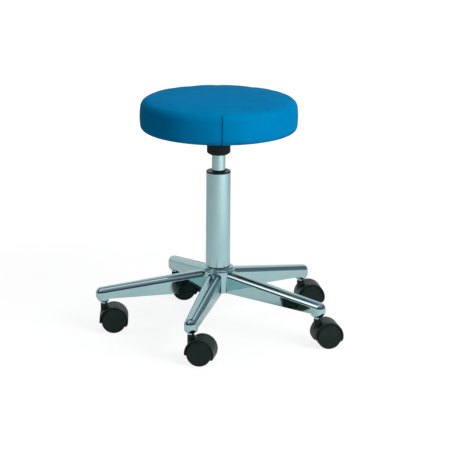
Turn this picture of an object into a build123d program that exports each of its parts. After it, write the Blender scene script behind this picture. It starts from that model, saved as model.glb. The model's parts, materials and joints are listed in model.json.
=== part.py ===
from build123d import *
import os
from math import asin, cos, hypot, radians, sin

# Dentist stool: a round padded seat on a gas lift, over a five-arm chrome base with twin-wheel casters.
# Millimetres, +Z up. The origin is on the floor, on the column's axis. The front arm points to -Y,
# and the height lever points to +Y.

# Seat
SEAT_R = 160.0
SEAT_BOTTOM = 420.0
SEAT_TOP = 485.0
SEAT_TOP_ROUND = 20.0
SEAT_BOTTOM_ROUND = 11.0
COVER_T = 1.2
BOARD_R = 147.0
BOARD_T = 12.0
COVER_HEM_R = 124.0
STAPLE_CIRCLE_R = 134.0
STAPLE_COUNT = 32

# Seat plate and the hub that takes the gas lift's taper
PLATE_SIDE = 150.0
PLATE_T = 2.5
PLATE_HOLES = 120.0
BOLT_R = 3.0
HUB_R = 20.0
COLLAR_R = 24.0
COLLAR_BOTTOM = 369.0
COLLAR_TOP = 395.0

# Gas lift
LIFT_R = 14.0
LIFT_BORE_R = 12.0
LIFT_BOTTOM = 150.0
LIFT_TOP = 402.0
TAPER_START = 372.0
TAPER_TOP_R = 13.2
PIN_R = 4.0
PIN_TOP = 406.75
ROD_R = 5.0
ROD_BOTTOM = 84.0
PISTON_BOTTOM = 280.0
PISTON_TOP = 296.0

# Height lever
LEVER_R = 4.0
LEVER_Z = 411.0
PIVOT_Y = 38.0
LEVER_DROP = 14.0
LEVER_END = 148.0
GRIP_R = 7.0

# Column
COLUMN_R = 25.0
COLUMN_BORE_R = 23.0
COLUMN_BOTTOM = 83.5
COLUMN_TOP = 331.0
BUSH_TOP = 334.5
BUSH_BOTTOM = 254.0
END_PLATE_Z = 88.5
END_PLATE_T = 5.0
RACE_T = 1.2
BALL_R = 1.5
BUMPER_H = 14.0

# Base
BASE_HUB_R = 35.0
BASE_HUB_BOTTOM = 83.0
BASE_HUB_TOP = 134.2
ARM_COUNT = 5
FIRST_ARM_ANGLE = 270.0
STEM_CIRCLE_R = 234.0
ARM_TOP_ROOT = 125.0
ARM_TOP_TIP = 92.5
ARM_HALF_ROOT = 15.5
ARM_HALF_TIP = 12.5
ARM_BOTTOM_TIP = 70.0
ARM_SHOULDER = 11.5
ARM_WALL = 2.5
NOSE_OVERHANG = 4.5
BOWL_TOP = 74.5
BOWL_BACK = 9.0

# Casters
WHEEL_R = 25.0
WHEEL_INNER = 6.8
WHEEL_OUTER = 26.0
TRAIL = 20.0
HOOD_R = 29.5
HOOD_CAVITY_R = 26.6
HOOD_HALF = 24.0
HOOD_EDGE_Z = 24.5
HOOD_TONGUE_BACK = 17.0
HOOD_TONGUE_FRONT = 8.0
WEB_HALF = 6.0
AXLE_R = 3.0
NECK_R = 7.25
NECK_TOP = 58.2
SOCKET_BOTTOM = 58.6
STEM_R = 5.5
STEM_PIN_R = 4.0
# The way each caster is parked: the direction from its stem to its wheels, in degrees from +X.
CASTER_TRAILS = (1.6, 24.6, 21.6, 12.6, 14.6)

BOARD_Z = SEAT_BOTTOM + COVER_T
PLATE_Z = BOARD_Z - PLATE_T
SLIP = 0.05
EASE = 0.2
LOWER_RACE_Z = END_PLATE_Z + END_PLATE_T
BALL_Z = LOWER_RACE_Z + RACE_T + BALL_R + SLIP
UPPER_RACE_Z = BALL_Z + BALL_R + SLIP
CLIP_Z = END_PLATE_Z - 1.8


def rod(radius, low, high):
    return Pos(0, 0, low) * Cylinder(radius, high - low, align=(Align.CENTER, Align.CENTER, Align.MIN))


def tube(radius, bore, low, high):
    return rod(radius, low, high) - rod(bore, low - 1, high + 1)


def turned(*lines):
    """A solid turned about Z from a closed outline of (radius, height) lines and arcs."""
    outline = Plane.XZ * make_face([edge for line in lines for edge in line.edges()])
    return revolve(outline, Axis.Z, 360)


def turned_points(*points):
    return turned(Polyline(*points, close=True))


def around_z(shape, angle):
    return Rot(0, 0, angle) * shape


def corners(spacing):
    return [(x * spacing / 2, y * spacing / 2) for x in (-1, 1) for y in (-1, 1)]


def padded_disc(inset):
    """The cushion's outer form, or the same form drawn in by an inset."""
    disc = rod(SEAT_R - inset, SEAT_BOTTOM + inset, SEAT_TOP - inset)
    edges = disc.edges().filter_by(GeomType.CIRCLE).sort_by(Axis.Z)
    disc = fillet(edges[-1], SEAT_TOP_ROUND - inset)
    edges = disc.edges().filter_by(GeomType.CIRCLE).sort_by(Axis.Z)
    return fillet(edges[0], SEAT_BOTTOM_ROUND - inset)


def seat_cover():
    cover = padded_disc(0) - padded_disc(COVER_T)
    return cover - rod(COVER_HEM_R, SEAT_BOTTOM - 1, BOARD_Z + 1)


def seat_foam():
    foam = padded_disc(COVER_T + EASE) - rod(BOARD_R + EASE, SEAT_BOTTOM, BOARD_Z + BOARD_T)
    for x, y in corners(PLATE_HOLES):
        foam -= Pos(x, y, 0) * rod(9.4, BOARD_Z, BOARD_Z + BOARD_T + 1.5)
    return foam


def seat_board():
    board = rod(BOARD_R, BOARD_Z, BOARD_Z + BOARD_T)
    for x, y in corners(PLATE_HOLES):
        board -= Pos(x, y, 0) * rod(4.2, BOARD_Z - 1, BOARD_Z + BOARD_T + 1)
    return board


def cover_staples():
    crown = Pos(0, 0, SEAT_BOTTOM - 0.35) * Box(0.7, 10.0, 0.7)
    leg = Box(0.7, 0.7, 7.0, align=(Align.CENTER, Align.CENTER, Align.MIN))
    staple = crown + [Pos(0, y, SEAT_BOTTOM - 0.7) * leg for y in (-4.65, 4.65)]
    turns = [i * 360 / STAPLE_COUNT for i in range(STAPLE_COUNT)]
    return [around_z(Pos(STAPLE_CIRCLE_R, 0, 0) * Rot(0, 0, 20) * staple, turn) for turn in turns]


def tee_nuts():
    low = BOARD_Z + BOARD_T - 9
    top = BOARD_Z + BOARD_T
    nut = tube(4.1, BOLT_R + SLIP, low, top) + tube(9.0, BOLT_R + SLIP, top, top + 1.2)
    return [Pos(x, y, 0) * nut for x, y in corners(PLATE_HOLES)]


def plate_bolts():
    head_top = PLATE_Z - 1.5
    hexagon = Pos(0, 0, head_top - 4) * extrude(RegularPolygon(5.7, 6), 4)
    bolt = hexagon + rod(BOLT_R, head_top - 1, BOARD_Z + BOARD_T - 0.5)
    return [Pos(x, y, 0) * bolt for x, y in corners(PLATE_HOLES)]


def bolt_washers():
    washer = tube(7.5, BOLT_R + 0.2, PLATE_Z - 1.5, PLATE_Z)
    return [Pos(x, y, 0) * washer for x, y in corners(PLATE_HOLES)]


def seat_plate():
    plate = Pos(0, 0, PLATE_Z) * extrude(RectangleRounded(PLATE_SIDE, PLATE_SIDE, 18), PLATE_T)
    for x, y in corners(PLATE_HOLES):
        plate -= Pos(x, y, 0) * rod(BOLT_R + 0.3, PLATE_Z - 1, PLATE_Z + PLATE_T + 1)
    return plate


def taper_hub():
    """The welded steel hub, bored to the gas lift's taper, with a slot for the lever."""
    hub = turned_points(
        (LIFT_R + SLIP, TAPER_START + 0.5),
        (HUB_R, TAPER_START + 0.5),
        (HUB_R, PLATE_Z),
        (LIFT_R + SLIP, PLATE_Z),
        (LIFT_R + SLIP, LIFT_TOP + 1),
        (TAPER_TOP_R + SLIP, LIFT_TOP + 1),
        (TAPER_TOP_R + SLIP, LIFT_TOP),
    )
    slot = Box(9.6, HUB_R + 2, PLATE_Z - 401, align=(Align.CENTER, Align.MIN, Align.MIN))
    return hub - Pos(0, 0, 401) * slot


def bump_collar():
    return turned_points(
        (LIFT_R + SLIP, COLLAR_BOTTOM),
        (COLLAR_R - 5, COLLAR_BOTTOM),
        (COLLAR_R - 1.2, COLLAR_BOTTOM + 2.6),
        (COLLAR_R, COLLAR_BOTTOM + 5),
        (COLLAR_R, COLLAR_TOP - 1),
        (COLLAR_R - 1, COLLAR_TOP),
        (HUB_R + SLIP, COLLAR_TOP),
        (HUB_R + SLIP, TAPER_START + 0.4),
        (LIFT_R + SLIP, TAPER_START + 0.4),
    )


def lever_bracket():
    """A folded bracket, welded under the plate, whose two ears hold the lever's pivot pin."""
    bracket = Pos(0, PIVOT_Y, 403) * Box(14.8, 16, PLATE_Z - 403, align=(Align.CENTER, Align.CENTER, Align.MIN))
    bracket -= Pos(0, PIVOT_Y, 402) * Box(8.8, 17, 14.7, align=(Align.CENTER, Align.CENTER, Align.MIN))
    return bracket - Pos(0, PIVOT_Y, LEVER_Z) * Rot(0, 90, 0) * Cylinder(2.52, 20)


def lever_pin():
    return Pos(0, PIVOT_Y, LEVER_Z) * Rot(0, 90, 0) * Cylinder(2.5, 17)


def gas_cylinder():
    cylinder = turned_points(
        (6.0, LIFT_BOTTOM),
        (LIFT_R - 1, LIFT_BOTTOM),
        (LIFT_R, LIFT_BOTTOM + 1),
        (LIFT_R, TAPER_START),
        (TAPER_TOP_R, LIFT_TOP - 1),
        (TAPER_TOP_R - 1, LIFT_TOP),
        (PIN_R + SLIP, LIFT_TOP),
        (PIN_R + SLIP, LIFT_TOP - 3),
        (LIFT_BORE_R, LIFT_TOP - 3),
        (LIFT_BORE_R, LIFT_BOTTOM + 2),
        (6.0, LIFT_BOTTOM + 2),
    )
    return cylinder


def valve_body():
    return rod(LIFT_BORE_R - SLIP, 360, LIFT_TOP - 3) - rod(PIN_R + SLIP, 372, LIFT_TOP)


def rod_guide():
    return tube(LIFT_BORE_R - SLIP, ROD_R + SLIP, LIFT_BOTTOM + 2, LIFT_BOTTOM + 20)


def valve_pin():
    pin = rod(PIN_R, 380, PIN_TOP)
    return fillet(pin.edges().filter_by(GeomType.CIRCLE).sort_by(Axis.Z)[-1], 2.6)


def lever_rod():
    """One bent bar: across the valve pin, through the pivot, then down and out to the grip."""
    path = FilletPolyline(
        (0, -5, LEVER_Z),
        (0, PIVOT_Y + 10, LEVER_Z),
        (0, PIVOT_Y + 32, LEVER_Z - LEVER_DROP),
        (0, LEVER_END, LEVER_Z - LEVER_DROP),
        radius=14,
    )
    bar = sweep(Plane(path @ 0, z_dir=path % 0) * Circle(LEVER_R), path=path)
    eye = Pos(0, PIVOT_Y, LEVER_Z) * Rot(0, 90, 0) * Cylinder(5.2, 8)
    bore = Pos(0, PIVOT_Y, LEVER_Z) * Rot(0, 90, 0) * Cylinder(2.56, 20)
    return bar + eye - bore


def lever_grip():
    grip = rod(GRIP_R, 0, 54) - rod(LEVER_R + SLIP, -1, 50)
    ends = grip.edges().filter_by(GeomType.CIRCLE).sort_by(Axis.Z)
    grip = fillet(ends[-1], 5)
    return Pos(0, LEVER_END - 50, LEVER_Z - LEVER_DROP) * Rot(-90, 0, 0) * grip


def piston_rod():
    bar = rod(ROD_R, ROD_BOTTOM, PISTON_BOTTOM) + rod(4.0, PISTON_BOTTOM - 1, PISTON_TOP + 2)
    return bar - tube(8.0, 4.2, CLIP_Z - 0.1, CLIP_Z + 1.5)


def piston():
    disc = tube(LIFT_BORE_R - 0.07, 4.0 + SLIP, PISTON_BOTTOM, PISTON_TOP)
    return disc - tube(20, 9.8, 286, 290)


def piston_seal():
    return tube(LIFT_BORE_R - 0.03, 9.9, 286.1, 289.9)


def rod_clip():
    clip = tube(9.0, 4.25, CLIP_Z, CLIP_Z + 1.4)
    return clip - Pos(0, 8, CLIP_Z) * Box(7, 16, 4)


def upper_thrust_washer():
    return tube(11.0, ROD_R + SLIP, UPPER_RACE_Z, UPPER_RACE_Z + RACE_T)


def rod_bumper():
    low = UPPER_RACE_Z + RACE_T
    bumper = tube(10.5, ROD_R + SLIP, low, low + BUMPER_H)
    return fillet(bumper.edges().filter_by(GeomType.CIRCLE).sort_by(Axis.Z)[-1], 2)


def lower_thrust_washer():
    return tube(11.0, 6.0, LOWER_RACE_Z, LOWER_RACE_Z + RACE_T)


def ball_places():
    return [Rot(0, 0, i * 40) * Pos(8.5, 0, BALL_Z) for i in range(9)]


def thrust_balls():
    return [place * Sphere(BALL_R) for place in ball_places()]


def ball_cage():
    cage = tube(11.0, 6.0, BALL_Z - 0.75, BALL_Z + 0.75)
    for place in ball_places():
        cage -= place * Cylinder(1.6, 5)
    return cage


def column_tube():
    return tube(COLUMN_R, COLUMN_BORE_R, COLUMN_BOTTOM, COLUMN_TOP)


def guide_bush():
    """The plastic bush that guides the gas lift, with a flange that caps the column."""
    return turned_points(
        (LIFT_R + SLIP, BUSH_BOTTOM),
        (COLUMN_BORE_R - SLIP, BUSH_BOTTOM),
        (COLUMN_BORE_R - SLIP, COLUMN_TOP),
        (COLUMN_R, COLUMN_TOP),
        (COLUMN_R, BUSH_TOP - 0.8),
        (COLUMN_R - 0.8, BUSH_TOP),
        (LIFT_R + 0.8, BUSH_TOP),
        (LIFT_R + SLIP, BUSH_TOP - 0.8),
    )


def column_bottom_plate():
    return tube(COLUMN_BORE_R - SLIP, 6.0, END_PLATE_Z, END_PLATE_Z + END_PLATE_T)


def base_hub():
    """The ring that the arms are welded to: a rounded shoulder, then a bead against the column."""
    bore = COLUMN_R + SLIP
    top = BASE_HUB_TOP
    shoulder = (BASE_HUB_R, top - 8.6)
    groove = (BASE_HUB_R - 2.1, top - 5.8)
    bead = (BASE_HUB_R - 6.5, top)
    return turned(
        Polyline(bead, (bore, top), (bore, BASE_HUB_BOTTOM), (BASE_HUB_R, BASE_HUB_BOTTOM), shoulder),
        ThreePointArc(shoulder, (BASE_HUB_R - 0.6, top - 6.6), groove),
        ThreePointArc(groove, (BASE_HUB_R - 3.0, top - 1.9), bead),
    )


def tapered_outline(start, end, half_start, half_end):
    """A flat outline along X, straight at the start, whose sides run smoothly into a round nose."""
    lean = asin((half_start - half_end) / (end - start))
    root_x = start + half_start * sin(lean)
    root_y = half_start * cos(lean)
    tip_x = end + half_end * sin(lean)
    tip_y = half_end * cos(lean)
    sides = Polyline((tip_x, tip_y), (root_x, root_y), (root_x, -root_y), (tip_x, -tip_y))
    nose = ThreePointArc((tip_x, -tip_y), (end + half_end, 0), (tip_x, tip_y))
    return make_face(sides.edges() + nose.edges())


def arm_plan(inset):
    start = BASE_HUB_R - 12
    end = STEM_CIRCLE_R + NOSE_OVERHANG
    return tapered_outline(start, end, ARM_HALF_ROOT - inset, ARM_HALF_TIP - inset)


def arm_block(inset):
    """The arm's outer block, or the hollow inside it when drawn in by an inset."""
    slope = (ARM_TOP_TIP - ARM_TOP_ROOT) / (STEM_CIRCLE_R - BASE_HUB_R)
    start = BASE_HUB_R - 12
    end = STEM_CIRCLE_R + 25
    back = STEM_CIRCLE_R - BOWL_BACK
    drop = 40 if inset else 0
    side = Polyline(
        (start, ARM_TOP_ROOT + slope * (start - BASE_HUB_R) - inset),
        (end, ARM_TOP_ROOT + slope * (end - BASE_HUB_R) - inset),
        (end, BOWL_TOP - drop),
        (back, BOWL_TOP - drop),
        (back, ARM_BOTTOM_TIP - drop),
        (start, BASE_HUB_BOTTOM - drop),
        close=True,
    )
    wall = extrude(Plane.XZ * make_face(side), 20, both=True)
    block = wall & Pos(0, 0, 20) * extrude(arm_plan(inset), 130)
    top = block.faces().filter_by(lambda face: face.normal_at().Z > 0.9).sort_by(Axis.Z)[-1]
    rim = top.edges().filter_by(lambda edge: edge.center().X > BASE_HUB_R)
    return fillet(rim, ARM_SHOULDER - inset)


def arm():
    """One arm along +X: a tapered channel with round shoulders, open below, narrowing to its nose."""
    return arm_block(0) - arm_block(ARM_WALL) - rod(BASE_HUB_R + SLIP, 0, 200)


def caster_socket():
    """The socket that closes the arm's nose in a round bowl and takes the caster's stem."""
    ring = NECK_R - 0.6
    bowl_low = (ring + 0.5, SOCKET_BOTTOM + 2.4)
    bowl_high = (ARM_HALF_TIP + NOSE_OVERHANG, BOWL_TOP)
    bowl = turned(
        ThreePointArc(bowl_low, (13.4, 66.2), bowl_high),
        Polyline(bowl_high, (0, BOWL_TOP), (0, bowl_low[1]), bowl_low),
    )
    bowl &= Pos(-STEM_CIRCLE_R, 0, 40) * extrude(arm_plan(0), 60)
    bowl &= Pos(-BOWL_BACK, 0, 0) * Box(60, 60, 200, align=(Align.MIN, Align.CENTER, Align.CENTER))
    socket = bowl + rod(ring, SOCKET_BOTTOM, BOWL_TOP)
    socket += rod(ARM_HALF_TIP - ARM_WALL - EASE, BOWL_TOP - 1, 82) & Box(2 * BOWL_BACK, 60, 400)
    return socket - rod(STEM_R + 0.1, 0, 100)


def caster_stem():
    stem = rod(STEM_R, SOCKET_BOTTOM + 0.3, 79) + rod(STEM_PIN_R, 36.3, SOCKET_BOTTOM + 1)
    return stem - tube(8, 5.0, 73.9, 76.1)


def grip_ring():
    ring = tube(STEM_R + 0.08, 5.05, 74, 76)
    return ring - Pos(STEM_R, 0, 75) * Box(4, 1.5, 4)


def along_y(shape):
    """Turn a shape built about Z so that its axis lies on the caster's axle."""
    return Pos(TRAIL, 0, WHEEL_R) * Rot(-90, 0, 0) * shape


def hood_tongue(start, end, depth):
    """The rounded lip the hood keeps below its edge, from one distance along X to another."""
    lip = extrude(Ellipse(depth, HOOD_HALF - 0.1), end - start)
    lip = Pos(start, 0, HOOD_EDGE_Z) * Rot(0, 90, 0) * lip
    return lip - along_y(rod(HOOD_CAVITY_R - 2.6, -30, 30))


def caster_hood():
    """The nylon hood: a curved shell over both wheels, a web between them, and the neck."""
    drum = rod(HOOD_R, -HOOD_HALF, HOOD_HALF)
    drum = fillet(drum.edges().filter_by(GeomType.CIRCLE), 1.6)
    below = Pos(TRAIL, 0, HOOD_EDGE_Z - 50) * Box(200, 200, 100)
    below -= hood_tongue(TRAIL, TRAIL + 40, HOOD_TONGUE_BACK) + hood_tongue(TRAIL - 40, TRAIL, HOOD_TONGUE_FRONT)
    hood = along_y(drum) - below
    neck = rod(NECK_R, HOOD_EDGE_Z, NECK_TOP)
    neck = chamfer(neck.edges().filter_by(GeomType.CIRCLE).sort_by(Axis.Z)[-1], 0.6)
    hood += neck
    hood += along_y(rod(10.0, -WEB_HALF, WEB_HALF))
    for side in (-1, 1):
        cavity = rod(HOOD_CAVITY_R, WEB_HALF, HOOD_HALF + 5)
        hood -= along_y(Rot(90 - 90 * side, 0, 0) * cavity)
    hood -= rod(STEM_PIN_R + SLIP, 36, 80)
    return hood - along_y(rod(AXLE_R + 0.02, -30, 30))


def caster_axle():
    return along_y(rod(AXLE_R, -22, 22))


def caster_wheel(side):
    """One wheel: a closed outer face, a rim and a bored boss, open towards the web."""
    width = WHEEL_OUTER - WHEEL_INNER
    edge = 3.0
    rim_in = (WHEEL_R, width - edge)
    rim_out = (WHEEL_R - edge, width)
    wheel = turned(
        Polyline(rim_out, (20.6, width), (20.2, width - 0.5), (0, width - 0.5), (0, width - 3.5),
                 (AXLE_R + SLIP, width - 3.5), (AXLE_R + SLIP, 0), (7, 0), (7, width - 2.8),
                 (22, width - 2.8), (22, 0), (WHEEL_R - 0.8, 0), (WHEEL_R, 0.8), rim_in),
        ThreePointArc(rim_in, (WHEEL_R - 0.2929 * edge, width - 0.2929 * edge), rim_out),
    )
    return along_y(Rot(90 - 90 * side, 0, 0) * Pos(0, 0, WHEEL_INNER) * wheel)


def arm_angle(index):
    return FIRST_ARM_ANGLE + index * 360 / ARM_COUNT


def stem_place(index):
    angle = radians(arm_angle(index))
    return Pos(STEM_CIRCLE_R * cos(angle), STEM_CIRCLE_R * sin(angle), 0)


def arm_tip(index):
    return Rot(0, 0, arm_angle(index)) * Pos(STEM_CIRCLE_R, 0, 0)


def caster_place(index):
    return stem_place(index) * Rot(0, 0, CASTER_TRAILS[index])


def build_nodes():
    nodes = {
        "seat_cover": seat_cover(),
        "seat_foam": seat_foam(),
        "seat_board": seat_board(),
        "cover_staples": cover_staples(),
        "tee_nuts": tee_nuts(),
        "seat_plate": seat_plate(),
        "plate_bolts": plate_bolts(),
        "bolt_washers": bolt_washers(),
        "taper_hub": taper_hub(),
        "bump_collar": bump_collar(),
        "lever_bracket": lever_bracket(),
        "lever_pin": lever_pin(),
        "gas_cylinder": gas_cylinder(),
        "valve_body": valve_body(),
        "rod_guide": rod_guide(),
        "valve_pin": valve_pin(),
        "lever_rod": lever_rod(),
        "lever_grip": lever_grip(),
        "piston_rod": piston_rod(),
        "piston": piston(),
        "piston_seal": piston_seal(),
        "rod_clip": rod_clip(),
        "upper_thrust_washer": upper_thrust_washer(),
        "rod_bumper": rod_bumper(),
        "lower_thrust_washer": lower_thrust_washer(),
        "thrust_balls": thrust_balls(),
        "ball_cage": ball_cage(),
        "column_tube": column_tube(),
        "guide_bush": guide_bush(),
        "column_bottom_plate": column_bottom_plate(),
        "base_hub": base_hub(),
        "caster_sockets": [arm_tip(i) * caster_socket() for i in range(ARM_COUNT)],
        "caster_stems": [stem_place(i) * caster_stem() for i in range(ARM_COUNT)],
        "grip_rings": [stem_place(i) * grip_ring() for i in range(ARM_COUNT)],
    }
    one_arm = arm()
    hood = caster_hood()
    axle = caster_axle()
    for i in range(ARM_COUNT):
        number = i + 1
        nodes[f"arm_{number}"] = around_z(one_arm, arm_angle(i))
        nodes[f"caster_hood_{number}"] = caster_place(i) * hood
        nodes[f"caster_axle_{number}"] = caster_place(i) * axle
        nodes[f"wheel_{number}_left"] = caster_place(i) * caster_wheel(1)
        nodes[f"wheel_{number}_right"] = caster_place(i) * caster_wheel(-1)
    return nodes


os.makedirs("parts", exist_ok=True)
for name, shape in build_nodes().items():
    solid = Compound(children=list(shape)) if isinstance(shape, list) else shape
    export_step(solid, f"parts/{name}.step")
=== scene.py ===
import json
from math import atan2, cos, exp, hypot, pi, radians, sin

import bmesh
import bpy
from mathutils import Matrix, Vector, noise
from mathutils.bvhtree import BVHTree


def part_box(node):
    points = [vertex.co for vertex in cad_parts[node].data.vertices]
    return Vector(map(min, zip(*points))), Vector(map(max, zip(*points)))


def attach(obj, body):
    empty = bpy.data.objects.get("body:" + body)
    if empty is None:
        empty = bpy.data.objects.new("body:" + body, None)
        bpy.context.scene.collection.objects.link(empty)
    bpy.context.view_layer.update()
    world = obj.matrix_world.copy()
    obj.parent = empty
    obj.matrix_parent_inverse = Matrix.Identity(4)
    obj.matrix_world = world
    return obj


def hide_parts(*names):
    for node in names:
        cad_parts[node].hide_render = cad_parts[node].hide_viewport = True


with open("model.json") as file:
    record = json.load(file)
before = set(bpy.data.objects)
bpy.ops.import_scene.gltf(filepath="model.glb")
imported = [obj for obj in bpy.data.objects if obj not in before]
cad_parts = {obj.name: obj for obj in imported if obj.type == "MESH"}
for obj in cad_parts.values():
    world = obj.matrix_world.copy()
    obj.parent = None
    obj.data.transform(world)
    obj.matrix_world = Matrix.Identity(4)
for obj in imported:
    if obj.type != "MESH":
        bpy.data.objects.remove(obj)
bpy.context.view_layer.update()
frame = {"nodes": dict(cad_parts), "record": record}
nodes = frame["nodes"]
scene = bpy.context.scene

MM = 0.001
SEAM_ANGLE = radians(285.0)

# in metres, with directions in degrees
CROWN_TOP = 0.486
RUBBED_FROM = 0.470     # from here up to the crown the cover is rubbed
DARKER_BELOW = 0.436        # from here down to the hem the cover is darker
HEM_LOW = 0.419
SEAM_SHADE_TOP = 0.4815     # where the painted shade along the seam ends, on the shoulder
STEM_CIRCLE = 0.234     # the caster stems stand on this radius
FIRST_ARM = 270         # the direction of arm 1
ARM_STEP = 72
WHEEL_R = 0.025
FACE_R = 0.0196         # the turned face of a wheel ends here
WHEEL_FADE = 0.0006     # and fades out, as the dusty tread does, over this
TURNED_RINGS = 5200.0   # fine rings on the face, in radians per metre of its radius
PLY_PAIR = 0.0024       # a light and a dark ply of the seat board


# ---------------------------------------------------------------- materials


class Nodes:
    """Short ways to add nodes to a shader tree. An input is a plain value or another node's output."""

    def __init__(self, tree, coordinates):
        self.tree = tree
        self.place = self.add("ShaderNodeTexCoord").outputs[coordinates]

    def add(self, kind, inputs=None, **settings):
        node = self.tree.nodes.new(kind)
        for setting, value in settings.items():
            setattr(node, setting, value)
        for socket, value in (inputs or {}).items():
            self.put(node.inputs[socket], value)
        return node

    def put(self, socket, value):
        if isinstance(value, bpy.types.NodeSocket):
            self.tree.links.new(value, socket)
        else:
            socket.default_value = value

    def parts(self, vector=None):
        split = self.add("ShaderNodeSeparateXYZ", {"Vector": vector or self.place})
        return split.outputs["X"], split.outputs["Y"], split.outputs["Z"]

    def math(self, operation, a, b=0.0):
        return self.add("ShaderNodeMath", {0: a, 1: b}, operation=operation).outputs[0]

    def times(self, a, b):
        return self.math("MULTIPLY", a, b)

    def plus(self, a, b):
        return self.math("ADD", a, b)

    def spread(self, value, low, high, to_low=0.0, to_high=1.0, smooth=False):
        """The value's way from low to high as a number from to_low to to_high, held at both ends."""
        kind = "SMOOTHSTEP" if smooth else "LINEAR"
        inputs = {"Value": value, "From Min": low, "From Max": high, "To Min": to_low, "To Max": to_high}
        return self.add("ShaderNodeMapRange", inputs, interpolation_type=kind).outputs["Result"]

    def mixed(self, share, a, b):
        node = self.add("ShaderNodeMix", data_type="RGBA")
        self.put(node.inputs[0], share)
        self.put(node.inputs[6], a)
        self.put(node.inputs[7], b)
        return node.outputs[2]


class Finish(Nodes):
    """A procedural material. Every pattern is laid out in object coordinates, in metres."""

    def __init__(self, name, **constants):
        self.material = bpy.data.materials.new(name)
        self.material.use_nodes = True
        super().__init__(self.material.node_tree, "Object")
        self.shader = self.tree.nodes["Principled BSDF"]
        for socket, value in constants.items():
            self.shader.inputs[socket.replace("_", " ")].default_value = value

    def stretched(self, x, y, z):
        scale = {"Vector": self.place, "Scale": (x, y, z)}
        return self.add("ShaderNodeMapping", scale).outputs["Vector"]

    def moved(self, origin, turn):
        """Coordinates about another origin, with X turned to that direction about Z."""
        shift = self.add("ShaderNodeVectorMath", {0: self.place, 1: origin}, operation="SUBTRACT")
        spin = {"Vector": shift.outputs["Vector"], "Rotation": (0, 0, -turn)}
        return self.add("ShaderNodeMapping", spin).outputs["Vector"]

    def noise(self, scale, detail=3.0, rough=0.5, warp=0.0, at=None):
        inputs = {"Vector": at or self.place, "Scale": scale, "Detail": detail}
        inputs.update({"Roughness": rough, "Distortion": warp})
        return self.add("ShaderNodeTexNoise", inputs).outputs["Fac"]

    def cells(self, scale, feature="DISTANCE_TO_EDGE", output="Distance", at=None):
        """A cell pattern: the distance to the cells' edges, or with F1 to their centres."""
        inputs = {"Vector": at or self.place, "Scale": scale}
        return self.add("ShaderNodeTexVoronoi", inputs, feature=feature).outputs[output]

    def bump(self, height, depth, over=None):
        inputs = {"Height": height, "Distance": depth, "Strength": 1.0}
        if over:
            inputs["Normal"] = over
        return self.add("ShaderNodeBump", inputs).outputs["Normal"]

    def done(self, colour, roughness, normal=None):
        self.put(self.shader.inputs["Base Color"], colour)
        self.put(self.shader.inputs["Roughness"], roughness)
        if normal:
            self.put(self.shader.inputs["Normal"], normal)
        return self.material


def rgb(red, green, blue):
    return (red, green, blue, 1.0)


def vinyl():
    """Satin blue upholstery vinyl: pebbled grain with painted shade in its valleys, faint creases, a painted
    shade line along the seam, a rubbed crown and a colour that darkens towards the hem.
    """
    f = Finish("blue_vinyl", Specular_IOR_Level=0.004, Metallic=0.08, Specular_Tint=rgb(0.02, 0.45, 0.85))
    warp = f.noise(90, 2)
    inputs = {0: warp, 1: (0.004, 0.004, 0.004), 2: f.place}
    bent = f.add("ShaderNodeVectorMath", inputs, operation="MULTIPLY_ADD").outputs["Vector"]
    pebbles = f.spread(f.cells(620, at=bent), 0.0, 0.28, smooth=True)
    creases = f.spread(f.cells(150, at=bent), 0.0, 0.05, smooth=True)
    fine = f.noise(2600, 2, 0.6)
    soft = f.noise(24, 3, 0.55)
    patches = f.noise(9, 4, 0.6)
    z = f.parts()[2]
    top = f.spread(z, RUBBED_FROM, CROWN_TOP, smooth=True)
    low = f.spread(z, HEM_LOW, DARKER_BELOW, 1.0, 0.0, smooth=True)
    base = f.mixed(f.spread(patches, 0.35, 0.65), rgb(0.0003, 0.235, 0.518), rgb(0.0003, 0.270, 0.580))
    # The valleys between the pebbles are painted darker, as painted shade.
    base = f.mixed(f.spread(pebbles, 0.0, 1.0, 0.30, 0.0), base, rgb(0.0004, 0.138, 0.368))
    base = f.mixed(f.spread(fine, 0.42, 0.60, 0.0, 0.10), base, rgb(0.001, 0.36, 0.70))
    worn = f.times(top, f.spread(soft, 0.45, 0.68))
    base = f.mixed(f.times(worn, 0.20), base, rgb(0.002, 0.310, 0.625))
    # Darker towards the hem, in noisy patches.
    darker_low = f.times(low, f.spread(soft, 0.40, 0.62, 0.1, 0.55))
    base = f.mixed(darker_low, base, rgb(0.003, 0.10, 0.245))
    outward, beside, _ = f.parts(f.moved((0, 0, 0), SEAM_ANGLE))
    # A thin near-black line painted into the seam's valley: painted shade in the crease.
    band = f.times(f.spread(outward, 0.10, 0.12), f.spread(z, SEAM_SHADE_TOP, SEAM_SHADE_TOP - 0.0025))
    seam_shade = f.spread(f.math("ABSOLUTE", beside), 0.0005, 0.0013, 1.0, 0.0)
    seam_shade = f.times(seam_shade, band)
    base = f.mixed(f.times(seam_shade, 0.9), base, rgb(0.0005, 0.022, 0.065))
    rough = f.spread(soft, 0.3, 0.7, 0.44, 0.54)
    rough = f.math("SUBTRACT", rough, f.times(worn, 0.07))
    rough = f.plus(rough, f.spread(pebbles, 0.0, 1.0, 0.08, 0.0))
    normal = f.bump(soft, 0.0006)
    normal = f.bump(creases, 0.00010, normal)
    normal = f.bump(pebbles, 0.00016, normal)
    normal = f.bump(fine, 0.00003, normal)
    return f.done(base, rough, normal)


def thread():
    f = Finish("blue_thread", Specular_IOR_Level=0.3)
    twist = f.noise(900, 2, at=f.stretched(1.6, 1.6, 0.45))
    colour = f.mixed(f.spread(twist, 0.35, 0.65), rgb(0.0015, 0.07, 0.19), rgb(0.006, 0.19, 0.42))
    return f.done(colour, f.spread(twist, 0.3, 0.7, 0.6, 0.8), f.bump(twist, 0.00012))


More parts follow.
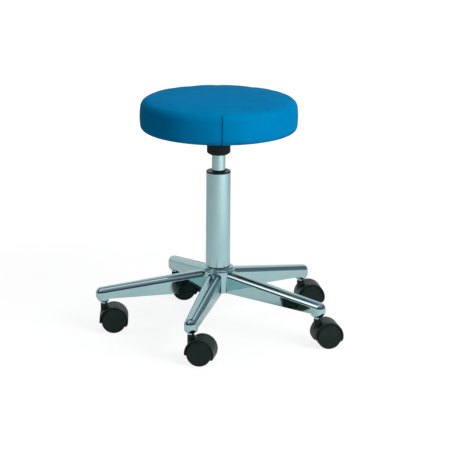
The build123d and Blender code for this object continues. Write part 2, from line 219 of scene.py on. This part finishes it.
def chrome():
    """Polished chrome plate: a mirror with hairline scratches, smudges and slightly wavy polish."""
    f = Finish("chrome_plate", Metallic=1.0)
    smudge = f.noise(28, 4, 0.6, 0.6)
    wave = f.noise(55, 1)
    hair_a = f.noise(420, 2, 0.6, at=f.stretched(1.0, 1.0, 0.05))
    hair_b = f.noise(520, 2, 0.6, at=f.stretched(0.06, 1.0, 1.0))
    hair_c = f.noise(520, 2, 0.6, at=f.stretched(1.0, 0.06, 1.0))
    hairs = f.plus(hair_a, f.plus(hair_b, hair_c))
    scratch = f.spread(hairs, 1.78, 1.98)
    specks = f.spread(f.cells(260, "F1"), 0.05, 0.10, 1.0, 0.0)
    specks = f.times(specks, f.spread(f.noise(40, 2), 0.56, 0.66))
    colour = f.mixed(f.spread(smudge, 0.35, 0.7), rgb(0.415, 0.620, 0.635), rgb(0.380, 0.585, 0.600))
    colour = f.mixed(f.times(specks, 0.5), colour, rgb(0.16, 0.20, 0.20))
    rough = f.spread(smudge, 0.42, 0.72, 0.035, 0.105)
    rough = f.plus(rough, f.times(scratch, 0.10))
    rough = f.plus(rough, f.times(specks, 0.25))
    normal = f.bump(wave, 0.00005)
    normal = f.bump(hairs, 0.0000025, normal)
    return f.done(colour, rough, normal)


def black_plastic(name, level, gloss, texture, origin=None, turn=0.0):
    """Moulded black plastic. With an origin it is a caster part: its own axle line sets where it wears."""
    f = Finish(name, Specular_IOR_Level=0.22, Specular_Tint=rgb(0.85, 1.0, 0.98))
    spark = f.noise(1900, 2, 0.6)
    cloud = f.noise(60, 3, 0.55)
    rubs = f.noise(340, 3, 0.7, 0.4, at=f.stretched(1.0, 1.0, 0.35))
    dark = rgb(0.75 * level, 1.50 * level, 1.45 * level)
    light = rgb(1.15 * level, 2.05 * level, 1.92 * level)
    colour = f.mixed(f.spread(cloud, 0.35, 0.65), dark, light)
    colour = f.mixed(f.spread(rubs, 0.60, 0.74, 0.0, 0.30), colour, rgb(0.034, 0.042, 0.040))
    rough = f.spread(cloud, 0.3, 0.7, gloss - 0.04, gloss + 0.06)
    rough = f.plus(rough, f.spread(rubs, 0.60, 0.74, 0.0, 0.14))
    if origin:
        x, _, z = f.parts(f.moved(origin, turn))
        radius = f.math("SQRT", f.plus(f.times(x, x), f.times(z, z)))
        tread = f.spread(radius, WHEEL_R - WHEEL_FADE, WHEEL_R, smooth=True)
        dusty = f.times(tread, f.spread(f.noise(150, 4, 0.65), 0.38, 0.62, 0.25, 0.9))
        colour = f.mixed(f.times(dusty, 0.55), colour, rgb(0.095, 0.098, 0.090))
        rough = f.plus(rough, f.times(dusty, 0.2))
        rings = f.math("SINE", f.times(radius, TURNED_RINGS))
        rings = f.times(rings, f.spread(radius, FACE_R, FACE_R + WHEEL_FADE, 1.0, 0.0))
        normal = f.bump(spark, texture)
        normal = f.bump(rings, 0.000004, normal)
    else:
        normal = f.bump(spark, texture)
    return f.done(colour, rough, normal)


def rubber():
    f = Finish("black_rubber", Specular_IOR_Level=0.25)
    bloom = f.noise(70, 4, 0.6)
    pores = f.noise(1400, 3, 0.65)
    colour = f.mixed(f.spread(bloom, 0.4, 0.7), rgb(0.011, 0.020, 0.0185), rgb(0.026, 0.040, 0.037))
    return f.done(colour, f.spread(bloom, 0.3, 0.7, 0.62, 0.80), f.bump(pores, 0.00008))


def powder_coat():
    """Black powder coat: orange peel with fine grit, chipped to grey here and there."""
    f = Finish("black_powder_coat", Specular_IOR_Level=0.5)
    peel = f.noise(700, 2, 0.5)
    grit = f.noise(2400, 2, 0.6)
    chips = f.spread(f.noise(190, 4, 0.7), 0.70, 0.73)
    chips = f.times(chips, f.spread(f.noise(22, 2), 0.5, 0.6))
    colour = f.mixed(f.spread(peel, 0.35, 0.65), rgb(0.012, 0.0125, 0.013), rgb(0.022, 0.023, 0.024))
    colour = f.mixed(chips, colour, rgb(0.22, 0.22, 0.21))
    rough = f.plus(f.spread(peel, 0.3, 0.7, 0.38, 0.5), f.times(chips, 0.15))
    normal = f.bump(peel, 0.00010)
    normal = f.bump(grit, 0.00003, normal)
    return f.done(colour, rough, normal)


def zinc():
    """Zinc plate: bluish spangle, soft passivation clouds and small white bloom."""
    f = Finish("zinc_plate", Metallic=1.0)
    shade = f.parts(f.cells(240.0, "F1", "Color"))[0]
    cloud = f.noise(45, 4, 0.6)
    bloom = f.spread(f.noise(130, 4, 0.7), 0.60, 0.72)
    colour = f.mixed(f.spread(shade, 0.0, 1.0, 0.0, 0.6), rgb(0.46, 0.48, 0.50), rgb(0.62, 0.63, 0.62))
    colour = f.mixed(f.spread(cloud, 0.45, 0.75, 0.0, 0.35), colour, rgb(0.56, 0.53, 0.42))
    colour = f.mixed(f.times(bloom, 0.25), colour, rgb(0.78, 0.79, 0.80))
    rough = f.plus(f.spread(cloud, 0.3, 0.7, 0.26, 0.38), f.times(bloom, 0.18))
    return f.done(colour, rough, f.bump(f.noise(900, 2), 0.00003))


def turned_steel(name, level, lines):
    """Bright steel with fine turning or drawing lines round or along the part."""
    f = Finish(name, Metallic=1.0)
    drawn = f.noise(700, 3, 0.7, at=f.stretched(*lines))
    stain = f.noise(60, 4, 0.6)
    bright = rgb(level, level, 0.985 * level)
    stained = rgb(0.62 * level, 0.58 * level, 0.50 * level)
    shadow = rgb(0.6 * level, 0.6 * level, 0.6 * level)
    colour = f.mixed(f.spread(stain, 0.5, 0.75, 0.0, 0.5), bright, stained)
    colour = f.mixed(f.spread(drawn, 0.35, 0.65, 0.0, 0.2), colour, shadow)
    rough = f.plus(f.spread(drawn, 0.3, 0.7, 0.20, 0.34), f.spread(stain, 0.5, 0.8, 0.0, 0.12))
    return f.done(colour, rough, f.bump(drawn, 0.000018))


def plywood():
    """Birch plywood: long grain with darker fibres and a few pin knots, and plies on the edge."""
    f = Finish("birch_plywood", Specular_IOR_Level=0.3)
    grain = f.noise(42, 5, 0.62, 1.2, at=f.stretched(0.22, 2.2, 1.0))
    fibre = f.noise(420, 3, 0.7, at=f.stretched(0.05, 1.6, 1.0))
    knots = f.spread(f.cells(17, "F1", at=f.stretched(1.0, 1.6, 1.0)), 0.03, 0.09, 1.0, 0.0, smooth=True)
    z = f.parts()[2]
    plies = f.spread(f.math("SINE", f.times(z, 2 * pi / PLY_PAIR)), -0.3, 0.3)
    colour = f.mixed(f.spread(grain, 0.35, 0.66), rgb(0.60, 0.43, 0.25), rgb(0.40, 0.255, 0.125))
    colour = f.mixed(f.spread(fibre, 0.40, 0.68, 0.0, 0.35), colour, rgb(0.28, 0.165, 0.075))
    colour = f.mixed(f.times(knots, 0.75), colour, rgb(0.13, 0.065, 0.028))
    colour = f.mixed(f.times(plies, 0.10), colour, rgb(0.30, 0.19, 0.10))
    rough = f.spread(fibre, 0.3, 0.7, 0.58, 0.78)
    normal = f.bump(fibre, 0.00015)
    normal = f.bump(grain, 0.0001, normal)
    return f.done(colour, rough, normal)


def foam():
    f = Finish("cut_foam", Specular_IOR_Level=0.1)
    pores = f.cells(900, "F1")
    patch = f.noise(30, 3)
    # The pits of the pores are painted darker: painted shade.
    colour = f.mixed(f.spread(pores, 0.1, 0.6), rgb(0.42, 0.35, 0.18), rgb(0.72, 0.64, 0.40))
    colour = f.mixed(f.spread(patch, 0.4, 0.7, 0.0, 0.3), colour, rgb(0.66, 0.52, 0.24))
    return f.done(colour, f.spread(patch, 0.3, 0.7, 0.85, 0.95), f.bump(pores, 0.0005))


FINISHES = {
    "vinyl": vinyl(),
    "foam": foam(),
    "plywood": plywood(),
    "staples": turned_steel("galvanised_wire", 0.60, (1.0, 1.0, 1.0)),
    "zinc_steel": zinc(),
    "black_steel": powder_coat(),
    "chrome": chrome(),
    "black_rubber": rubber(),
    "black_nylon": black_plastic("black_nylon", 0.0110, 0.42, 0.00006),
    "black_bush": black_plastic("black_acetal", 0.0110, 0.26, 0.00002),
    "steel": turned_steel("bright_steel", 0.66, (1.0, 1.0, 0.04)),
}


def dress(node, material):
    for place in node.material_slots:
        place.material = material


for part in frame["record"]["subparts"]:
    dress(nodes[part["node"]], FINISHES[part["material_slot"]])

for number in range(1, 6):
    low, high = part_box(f"caster_axle_{number}")
    middle = (low + high) / 2
    arm = radians(FIRST_ARM + ARM_STEP * (number - 1))
    stem = Vector((STEM_CIRCLE * cos(arm), STEM_CIRCLE * sin(arm), 0))
    trail = atan2(middle.y - stem.y, middle.x - stem.x)
    worn = black_plastic(f"wheel_nylon_{number}", 0.0105, 0.46, 0.00007, tuple(middle), trail)
    for side in ("left", "right"):
        dress(nodes[f"wheel_{number}_{side}"], worn)


# ---------------------------------------------------------------- seat cushion

# in millimetres
SEAT_R = 160.0
SEAT_LOW = 420.0
SEAT_TOP = 484.0
TOP_ROUND = 19.0
LOW_ROUND = 12.0
CROWN = 3.2
HEM_R = 124.0
SHOULDER_AT = radians(52)   # where the top panel's seam runs on the upper round
SWELL = 0.45                # share of the simulated swelling that the cover keeps
MOST_SWELL = 5.5
PAD_INSET = 1.6             # the simulated pad starts this far inside the cover
PAD_COLUMNS = 180
PAD_VOXEL = 5.0
SWELL_FRAMES = 20
COLUMNS = 240
CLOSE_STEP = 0.6            # between the mesh's columns beside the seam
CLOSE_COLUMNS = 16          # on each side of it
SEAM_END = 481              # the band's seam fades out below this height
PLEATS = 46
STITCH = 3.0
STITCH_PITCH = 3.9
STITCH_ROW = 3.3            # from the seam to each row of stitches
STITCH_LOW = 425.0
STITCH_HIGH = 477.0
THREAD_R = 0.30


def arc(centre_r, centre_z, radius, start, end, steps):
    """Points on an arc of the profile, angles measured from +r up towards +z."""
    turn = [start + (end - start) * i / steps for i in range(1, steps + 1)]
    return [(centre_r + radius * cos(a), centre_z + radius * sin(a)) for a in turn]


def cushion_profile(inset):
    """Radius and height from the crown to the hem, in millimetres, drawn in by an inset."""
    top_r = SEAT_R - TOP_ROUND
    points = []
    for i in range(1, 25):
        r = top_r * (i / 24) ** 0.9
        sag = CROWN * (1 - (r / top_r) ** 2) - inset
        points.append((r, SEAT_TOP + sag))
    points += arc(top_r, SEAT_TOP - TOP_ROUND, TOP_ROUND - inset, pi / 2, 0.0, 20)
    wall_top = SEAT_TOP - TOP_ROUND
    wall_low = SEAT_LOW + LOW_ROUND
    for i in range(1, 15):
        share = i / 14
        bulge = 0.9 * sin(pi * share)
        points.append((SEAT_R - inset + bulge, wall_top + (wall_low - wall_top) * share))
    points += arc(SEAT_R - LOW_ROUND, wall_low, LOW_ROUND - inset, 0.0, -pi / 2, 14)
    for i in range(1, 17):
        share = i / 16
        points.append((SEAT_R - LOW_ROUND + (HEM_R - SEAT_R + LOW_ROUND) * share, SEAT_LOW + inset))
    return points


def cushion_columns():
    """The angles of the mesh's columns: even all round, and close together beside the sewn seam."""
    even = [2 * pi * i / COLUMNS for i in range(COLUMNS)]
    close = [SEAM_ANGLE + i * CLOSE_STEP / SEAT_R for i in range(-CLOSE_COLUMNS, CLOSE_COLUMNS + 1)]
    clear = CLOSE_COLUMNS * CLOSE_STEP + 2.0
    far = [a for a in even if abs(a - SEAM_ANGLE) * SEAT_R > clear]
    return sorted(far + close)


def revolved(name, profile, angles, closing):
    """A closed mesh turned about Z from a profile that starts beside the axis."""
    mesh = bmesh.new()
    rings = []
    for r, z in profile + closing:
        ring = [mesh.verts.new((r * cos(a) * MM, r * sin(a) * MM, z * MM)) for a in angles]
        rings.append(ring)
    count = len(angles)
    for upper, lower in zip(rings, rings[1:]):
        for i in range(count):
            j = (i + 1) % count
            mesh.faces.new((upper[i], lower[i], lower[j], upper[j]))
    crown = mesh.verts.new((0, 0, profile[0][1] * MM))
    under = mesh.verts.new((0, 0, closing[-1][1] * MM))
    for i in range(count):
        j = (i + 1) % count
        mesh.faces.new((crown, rings[0][i], rings[0][j]))
        mesh.faces.new((under, rings[-1][j], rings[-1][i]))
    bmesh.ops.recalc_face_normals(mesh, faces=mesh.faces)
    data = bpy.data.meshes.new(name)
    mesh.to_mesh(data)
    mesh.free()
    made = bpy.data.objects.new(name, data)
    scene.collection.objects.link(made)
    return made


def active(piece):
    bpy.ops.object.select_all(action="DESELECT")
    piece.select_set(True)
    bpy.context.view_layer.objects.active = piece


def swollen_cushion():
    """The foam pushing its cover out, by cloth simulation under pressure, with the underside held flat."""
    closing = [(HEM_R, SEAT_LOW + 5), (60, SEAT_LOW + 5), (8, SEAT_LOW + 5)]
    even = [2 * pi * i / PAD_COLUMNS for i in range(PAD_COLUMNS)]
    pad = revolved("swelling", cushion_profile(PAD_INSET), even, closing)
    active(pad)
    remesh = pad.modifiers.new("even_faces", "REMESH")
    remesh.mode = "VOXEL"
    remesh.voxel_size = PAD_VOXEL * MM
    bpy.ops.object.modifier_apply(modifier=remesh.name)
    start = [v.co.copy() for v in pad.data.vertices]
    held = pad.vertex_groups.new(name="held")
    held_below = (SEAT_LOW + PAD_INSET + 2.5) * MM
    held.add([v.index for v in pad.data.vertices if v.co.z < held_below], 1.0, "REPLACE")
    cloth = pad.modifiers.new("cover", "CLOTH")
    cloth.settings.quality = 8
    cloth.settings.mass = 0.4
    cloth.settings.tension_stiffness = 30
    cloth.settings.compression_stiffness = 30
    cloth.settings.shear_stiffness = 15
    cloth.settings.bending_stiffness = 6.0
    cloth.settings.use_pressure = True
    cloth.settings.uniform_pressure_force = 2.5
    cloth.settings.vertex_group_mass = held.name
    cloth.settings.effector_weights.gravity = 0.0
    cloth.point_cache.frame_start = 1
    cloth.point_cache.frame_end = SWELL_FRAMES
    for step in range(1, SWELL_FRAMES + 1):
        scene.frame_set(step)
    evaluated = pad.evaluated_get(bpy.context.evaluated_depsgraph_get())
    moved = [v.co.copy() for v in evaluated.data.vertices]
    pad.modifiers.remove(cloth)
    scene.frame_set(1)
    cap = MOST_SWELL * MM
    for vertex, before, after in zip(pad.data.vertices, start, moved):
        push = after - before
        if push.length > cap:
            push *= cap / push.length
        vertex.co = before + push
    pad.data.update()
    surface = BVHTree.FromObject(pad, bpy.context.evaluated_depsgraph_get())
    bpy.data.objects.remove(pad)
    return surface


def bell(distance, width):
    return exp(-((distance / width) ** 2))


def sewn(angle, r, z, to_shoulder):
    """How far, in millimetres, the cover stands out at a point, for its seams, puckers and soft dents.

    to_shoulder is the distance from the seam on the shoulder.
    """
    off = (angle - SEAM_ANGLE + pi) % (2 * pi) - pi
    across = off * SEAT_R
    out = 0.0
    # The band's seam is a narrow valley with a welt on each side and puckers beside them.
    if z < SEAM_END:
        fade = min(1.0, max(0.0, (SEAM_END - z) / 3))
        out -= 1.0 * bell(across, 0.75) * fade
        out += 0.20 * (bell(across - 2.6, 1.5) + bell(across + 2.6, 1.5)) * fade
        out += 0.30 * sin(z * 2 * pi / 7.5) * bell(abs(across) - 6.5, 3.2) * fade
    out -= 0.42 * bell(to_shoulder, 0.9)
    # Over all of it lie soft dents, wide and small.
    where = Vector((r * cos(angle), r * sin(angle), z))
    out += 0.55 * noise.noise(where / 46.0)
    out += 0.16 * noise.noise(where / 13.0)
    return out


def pleats(angle, r):
    """How far, in millimetres, the gathered hem stands down from the board."""
    phase = angle * PLEATS + 2.2 * noise.noise(Vector((cos(angle) * 3, sin(angle) * 3, 0.7)))
    ridge = max(0.0, sin(phase)) ** 5
    size = 0.55 + 0.45 * noise.noise(Vector((cos(angle) * 9, sin(angle) * 9, 2.3)))
    grow = max(0.0, min(1.0, (156 - r) / 22))
    return 0.75 * ridge * max(0.0, size) * grow


def seat_cushion():
    closing = [(HEM_R, SEAT_LOW + 1.1), (HEM_R - 0.5, SEAT_LOW + 5), (60, SEAT_LOW + 5), (8, SEAT_LOW + 5)]
    profile = cushion_profile(0.0)
    angles = cushion_columns()
    cushion = revolved("seat_cushion", profile, angles, closing)
    surface = swollen_cushion()
    data = cushion.data
    rows = len(profile)
    columns = len(angles)
    shoulder_r = SEAT_R - TOP_ROUND + TOP_ROUND * cos(SHOULDER_AT)
    shoulder_z = SEAT_TOP - TOP_ROUND + TOP_ROUND * sin(SHOULDER_AT)
    normals = [v.normal.copy() for v in data.vertices]
    for index in range(rows * columns):
        vertex = data.vertices[index]
        row, column = divmod(index, columns)
        r, z = profile[row]
        rest = vertex.co.copy()
        place = rest.copy()
        if surface and z > SEAT_LOW + 3:
            found = surface.find_nearest(rest)[0]
            if found:
                place = found
        ease = SWELL * max(0.0, min(1.0, (z - SEAT_LOW - 3) / 8))
        place = rest.lerp(place, ease)
        to_shoulder = hypot(r - shoulder_r, z - shoulder_z)
        if z > SEAT_LOW + 0.5:
            lift = sewn(angles[column], r, z, to_shoulder) * min(1.0, (z - SEAT_LOW) / 6)
            place += normals[index] * lift * MM
        place.z -= pleats(angles[column], r) * MM * max(0.0, min(1.0, (428 - z) / 8))
        vertex.co = place
    crown = data.vertices[(rows + len(closing)) * columns]
    ring = [data.vertices[i].co.z for i in range(columns)]
    crown.co.z = sum(ring) / columns
    data.update()
    for polygon in data.polygons:
        polygon.use_smooth = True
    data.materials.append(FINISHES["vinyl"])
    return cushion


def outer_point(surface, angle, height):
    """The cushion's surface at a height, met from outside on a level line to the axis."""
    start = Vector((0.3 * cos(angle), 0.3 * sin(angle), height))
    inward = Vector((-cos(angle), -sin(angle), 0))
    place, normal = surface.ray_cast(start, inward)[:2]
    return place, normal


def seam_stitches(cushion):
    """Two rows of topstitching beside the seam, each stitch a short thread that dips in at its ends."""
    surface = BVHTree.FromObject(cushion, bpy.context.evaluated_depsgraph_get())
    mesh = bmesh.new()
    for side in (-1, 1):
        angle = SEAM_ANGLE + side * STITCH_ROW / SEAT_R
        beside = Vector((-sin(angle), cos(angle), 0))
        height = STITCH_LOW
        while height < STITCH_HIGH:
            rings = []
            for i in range(7):
                share = i / 6
                place, normal = outer_point(surface, angle, (height + STITCH * share) * MM)
                rise = 0.30 * sin(pi * share) - 0.10
                centre = place + normal * rise * MM
                thick = THREAD_R * MM * (0.45 + 0.55 * sin(pi * share))
                ring = []
                for k in range(8):
                    turn = 2 * pi * k / 8
                    spoke = beside * thick * cos(turn) + normal * thick * sin(turn)
                    ring.append(mesh.verts.new(centre + spoke))
                rings.append(ring)
            for a, b in zip(rings, rings[1:]):
                for k in range(8):
                    mesh.faces.new((a[k], a[(k + 1) % 8], b[(k + 1) % 8], b[k]))
            mesh.faces.new(rings[0][::-1])
            mesh.faces.new(rings[-1])
            height += STITCH_PITCH
    bmesh.ops.recalc_face_normals(mesh, faces=mesh.faces)
    for face in mesh.faces:
        face.smooth = True
    data = bpy.data.meshes.new("seam_stitches")
    mesh.to_mesh(data)
    mesh.free()
    stitches = bpy.data.objects.new("seam_stitches", data)
    scene.collection.objects.link(stitches)
    data.materials.append(thread())
    return stitches


cushion = seat_cushion()
stitches = seam_stitches(cushion)
for piece in (cushion, stitches):
    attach(piece, "seat")
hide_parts("seat_cover", "seat_foam")


# ---------------------------------------------------------------- studio

# in metres, with angles in degrees
FLOOR_HALF = 25.0
MIRRORED_GLOW = 0.22    # how brightly the floor glows in mirror images
AIM_HEIGHT = 0.25       # the lights are aimed at this height
CAMERA_AZIMUTH = 12.6
CAMERA_ELEVATION = 14.955
CAMERA_ROLL = 0.464
CAMERA_DISTANCE = 4.5
CAMERA_TARGET = (0.0137, 0.0031, 0.2195)
CAMERA_LENS = 176.0     # millimetres, as is the sensor
CAMERA_SENSOR = 36.0

# What polished parts see in each quarter of the room: its colour at each height, which goes from 0 at the
# horizon to 1 overhead.
BACK_LEFT = (
    (0.0, (0.68, 0.74, 0.75)),
    (0.58, (0.72, 0.74, 0.77)),
    (0.72, (0.38, 0.40, 0.41)),
    (0.90, (0.36, 0.37, 0.38)),
    (1.0, (0.45, 0.45, 0.46)),
)
BACK_RIGHT = (
    (0.0, (0.32, 0.34, 0.37)),
    (0.20, (0.19, 0.22, 0.28)),
    (0.60, (0.16, 0.17, 0.21)),
    (0.80, (0.34, 0.35, 0.37)),
    (1.0, (0.45, 0.45, 0.46)),
)
FRONT_LEFT = (
    (0.0, (0.020, 0.045, 0.042)),
    (0.35, (0.030, 0.060, 0.058)),
    (0.70, (0.16, 0.18, 0.19)),
    (1.0, (0.45, 0.45, 0.46)),
)
FRONT_RIGHT = (
    (0.0, (0.012, 0.028, 0.026)),
    (0.13, (0.020, 0.036, 0.036)),
    (0.38, (0.115, 0.122, 0.155)),
    (0.60, (0.21, 0.21, 0.28)),
    (0.80, (0.42, 0.42, 0.50)),
    (1.0, (0.45, 0.45, 0.46)),
)
STRIP_COLOUR = rgb(2.20, 1.72, 1.72)
STRIP_ACROSS = (-0.788, 0.616, 0.0)     # the strip stands at right angles to this direction
FILL_COLOUR = rgb(0.92, 0.96, 1.0)
FILL_STRENGTH = 0.15


def floor():
    """A plain pale floor. It glows a little in mirror images and is white to the camera."""
    mesh = bmesh.new()
    bmesh.ops.create_grid(mesh, x_segments=8, y_segments=8, size=FLOOR_HALF)
    data = bpy.data.meshes.new("floor")
    mesh.to_mesh(data)
    mesh.free()
    made = bpy.data.objects.new("floor", data)
    scene.collection.objects.link(made)
    f = Finish("pale_floor", Specular_IOR_Level=0.1)
    path = f.add("ShaderNodeLightPath")
    x, y, _ = f.parts()
    distance = f.math("SQRT", f.plus(f.times(x, x), f.times(y, y)))
    speck = f.noise(14, 3)
    pale = f.mixed(f.spread(speck, 0.3, 0.7), rgb(0.80, 0.80, 0.80), rgb(0.83, 0.83, 0.83))
    colour = f.mixed(path.outputs["Is Camera Ray"], pale, rgb(0.22, 0.22, 0.22))
    f.done(colour, f.spread(speck, 0.3, 0.7, 0.75, 0.85))
    f.shader.inputs["Emission Color"].default_value = rgb(1.0, 1.0, 1.0)
    # To the camera the floor brightens to white away from the stool.
    glow = f.spread(distance, 0.45, 1.5, 0.86, 1.0, smooth=True)
    glow = f.times(path.outputs["Is Camera Ray"], glow)
    glow = f.plus(glow, f.times(path.outputs["Is Glossy Ray"], MIRRORED_GLOW))
    f.put(f.shader.inputs["Emission Strength"], glow)
    data.materials.append(f.material)


def area_light(name, azimuth, elevation, distance, size, power):
    """A softbox aimed at the middle of the stool. It lights the stool but mirror images leave it out.

    Azimuth 0 is in front of the stool and 90 to its right.
    """
    aim = Vector((0, 0, AIM_HEIGHT))
    a = radians(azimuth)
    e = radians(elevation)
    back = Vector((sin(a) * cos(e), -cos(a) * cos(e), sin(e)))
    data = bpy.data.lights.new(name, "AREA")
    data.shape = "RECTANGLE"
    data.size, data.size_y = size
    data.energy = power
    light = bpy.data.objects.new(name, data)
    light.location = aim + back * distance
    light.rotation_mode = "QUATERNION"
    light.rotation_quaternion = back.to_track_quat("Z", "Y")
    light.visible_glossy = False
    scene.collection.objects.link(light)


def studio_world():
    """A studio that is white to the camera and a weak even fill to diffuse light.

    Polished parts see a pale sweep behind the stool, a dim room in front of it, and one bright upright strip.
    """
    world = bpy.data.worlds.new("studio")
    scene.world = world
    world.use_nodes = True
    world.node_tree.nodes.clear()
    n = Nodes(world.node_tree, "Generated")
    path = n.add("ShaderNodeLightPath")
    x, y, z = n.parts()

    def ramp(stops):
        node = n.add("ShaderNodeValToRGB", {"Fac": z})
        elements = node.color_ramp.elements
        while len(elements) < len(stops):
            elements.new(0.5)
        for element, (height, colour) in zip(elements, stops):
            element.position = height
            element.color = rgb(*colour)
        return node.outputs["Color"]

    def blended(value, low, high, a, b):
        return n.mixed(n.spread(value, low, high, smooth=True), a, b)

    def background(colour, strength=1.0):
        inputs = {"Color": colour, "Strength": strength}
        return n.add("ShaderNodeBackground", inputs).outputs["Background"]

    def seen(kind_of_ray, others, these):
        inputs = {0: path.outputs[kind_of_ray], 1: others, 2: these}
        return n.add("ShaderNodeMixShader", inputs).outputs["Shader"]

    front = blended(x, -0.40, -0.16, ramp(FRONT_LEFT), ramp(FRONT_RIGHT))
    behind = blended(x, 0.30, 0.44, ramp(BACK_LEFT), ramp(BACK_RIGHT))
    room = blended(y, -0.10, 0.20, front, behind)
    across = n.add("ShaderNodeVectorMath", {0: n.place, 1: STRIP_ACROSS}, operation="DOT_PRODUCT")
    beside = n.math("ABSOLUTE", across.outputs["Value"])
    strip = n.spread(beside, 0.045, 0.085, 1.0, 0.0, smooth=True)
    strip = n.times(strip, n.spread(y, 0.05, -0.05, smooth=True))
    strip = n.times(strip, n.spread(z, 0.34, 0.44, smooth=True))
    room = n.mixed(strip, room, STRIP_COLOUR)
    shader = seen("Is Glossy Ray", background(FILL_COLOUR, FILL_STRENGTH), background(room))
    shader = seen("Is Camera Ray", shader, background(rgb(1.0, 1.0, 1.0)))
    n.add("ShaderNodeOutputWorld", {"Surface": shader})


def camera():
    """A long lens a few metres off, level with the photographer's eye, turned slightly about its own axis."""
    azimuth = radians(CAMERA_AZIMUTH)
    elevation = radians(CAMERA_ELEVATION)
    roll = radians(CAMERA_ROLL)
    target = Vector(CAMERA_TARGET)
    back = Vector((sin(azimuth) * cos(elevation), -cos(azimuth) * cos(elevation), sin(elevation)))
    level = Vector((cos(azimuth), sin(azimuth), 0))
    upright = back.cross(level)
    right = level * cos(roll) + upright * sin(roll)
    up = upright * cos(roll) - level * sin(roll)
    data = bpy.data.cameras.new("camera")
    data.lens = CAMERA_LENS
    data.sensor_width = CAMERA_SENSOR
    data.clip_end = 200.0
    made = bpy.data.objects.new("camera", data)
    turned = Matrix((right, up, back)).transposed().to_4x4()
    made.matrix_world = Matrix.Translation(target + back * CAMERA_DISTANCE) @ turned
    scene.collection.objects.link(made)
    scene.camera = made


floor()
studio_world()
area_light("key_softbox", azimuth=62, elevation=27, distance=2.6, size=(1.5, 1.0), power=50)
area_light("top_softbox", azimuth=180, elevation=84, distance=2.1, size=(1.3, 0.7), power=12)
camera()
scene.view_settings.view_transform = "Standard"
